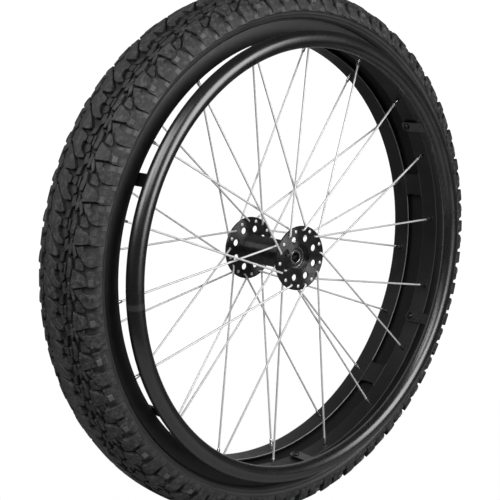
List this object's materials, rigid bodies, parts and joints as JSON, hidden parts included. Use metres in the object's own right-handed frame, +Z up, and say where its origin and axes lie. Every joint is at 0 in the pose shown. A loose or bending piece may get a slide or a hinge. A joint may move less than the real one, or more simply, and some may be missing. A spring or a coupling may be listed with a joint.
{
  "type": "wheelchair wheel",
  "caption": "Off-road wheelchair drive wheel: knobby tyre on a wide slotted rim, crossed wire spokes, perforated flange hub and a bolted-on hand rim.",
  "frame": {"origin": "on the wheel's axle axis, in the middle plane of the rim", "axes": "+Y along the axle towards the chair, the hand rim on the -Y side; +Z up; the wheel spins about Y"},
  "size_m": [0.653, 0.1273, 0.653],
  "materials": {
    "tyre_rubber": "matte",
    "butyl": "matte",
    "black_rim": "black anodised, satin",
    "gloss_black": "gloss black anodised",
    "anodised_black": "black anodised, turned",
    "stainless": "polished",
    "black_steel": "black zinc",
    "black_plastic": "matte"
  },
  "bodies": {
    "core": {"bearing_inner_race_outboard": "stainless", "bearing_inner_race_inboard": "stainless", "spacer_sleeve": "stainless"},
    "wheel": {"bearing_outer_race_outboard": "stainless", "bearing_outer_race_inboard": "stainless", "bearing_seal_outboard": "black_plastic", "bearing_seal_inboard": "black_plastic", "bearing_ball_ring_outboard": "stainless", "bearing_ball_ring_inboard": "stainless", "hub_shell": "anodised_black", "rim": "black_rim", "rim_tape": "black_plastic", "inner_tube": "butyl", "tyre": "tyre_rubber", "valve_stem": "butyl", "valve_cap": "black_plastic", "hand_rim": "gloss_black", "tab_screw_1": "black_steel", "tab_screw_2": "black_steel", "tab_screw_3": "black_steel", "tab_screw_4": "black_steel", "tab_screw_5": "black_steel", "tab_screw_6": "black_steel", "spoke_outboard_elbow_out_1": "stainless", "spoke_outboard_elbow_out_2": "stainless", "spoke_outboard_elbow_out_3": "stainless", "spoke_outboard_elbow_out_4": "stainless", "spoke_outboard_elbow_out_5": "stainless", "spoke_outboard_elbow_out_6": "stainless", "spoke_outboard_elbow_out_7": "stainless", "spoke_outboard_elbow_out_8": "stainless", "spoke_outboard_elbow_out_9": "stainless", "spoke_outboard_head_out_1": "stainless", "spoke_outboard_head_out_2": "stainless", "spoke_outboard_head_out_3": "stainless", "spoke_outboard_head_out_4": "stainless", "spoke_outboard_head_out_5": "stainless", "spoke_outboard_head_out_6": "stainless", "spoke_outboard_head_out_7": "stainless", "spoke_outboard_head_out_8": "stainless", "spoke_outboard_head_out_9": "stainless", "spoke_inboard_elbow_out_1": "stainless", "spoke_inboard_elbow_out_2": "stainless", "spoke_inboard_elbow_out_3": "stainless", "spoke_inboard_elbow_out_4": "stainless", "spoke_inboard_elbow_out_5": "stainless", "spoke_inboard_elbow_out_6": "stainless", "spoke_inboard_elbow_out_7": "stainless", "spoke_inboard_elbow_out_8": "stainless", "spoke_inboard_elbow_out_9": "stainless", "spoke_inboard_head_out_1": "stainless", "spoke_inboard_head_out_2": "stainless", "spoke_inboard_head_out_3": "stainless", "spoke_inboard_head_out_4": "stainless", "spoke_inboard_head_out_5": "stainless", "spoke_inboard_head_out_6": "stainless", "spoke_inboard_head_out_7": "stainless", "spoke_inboard_head_out_8": "stainless", "spoke_inboard_head_out_9": "stainless"}
  },
  "joints": [
    {"name": "wheel_spin", "type": "hinge", "parent": "core", "child": "wheel", "pos_m": [0, 0, 0], "axis": [0, 1, 0], "continuous": true}
  ]
}
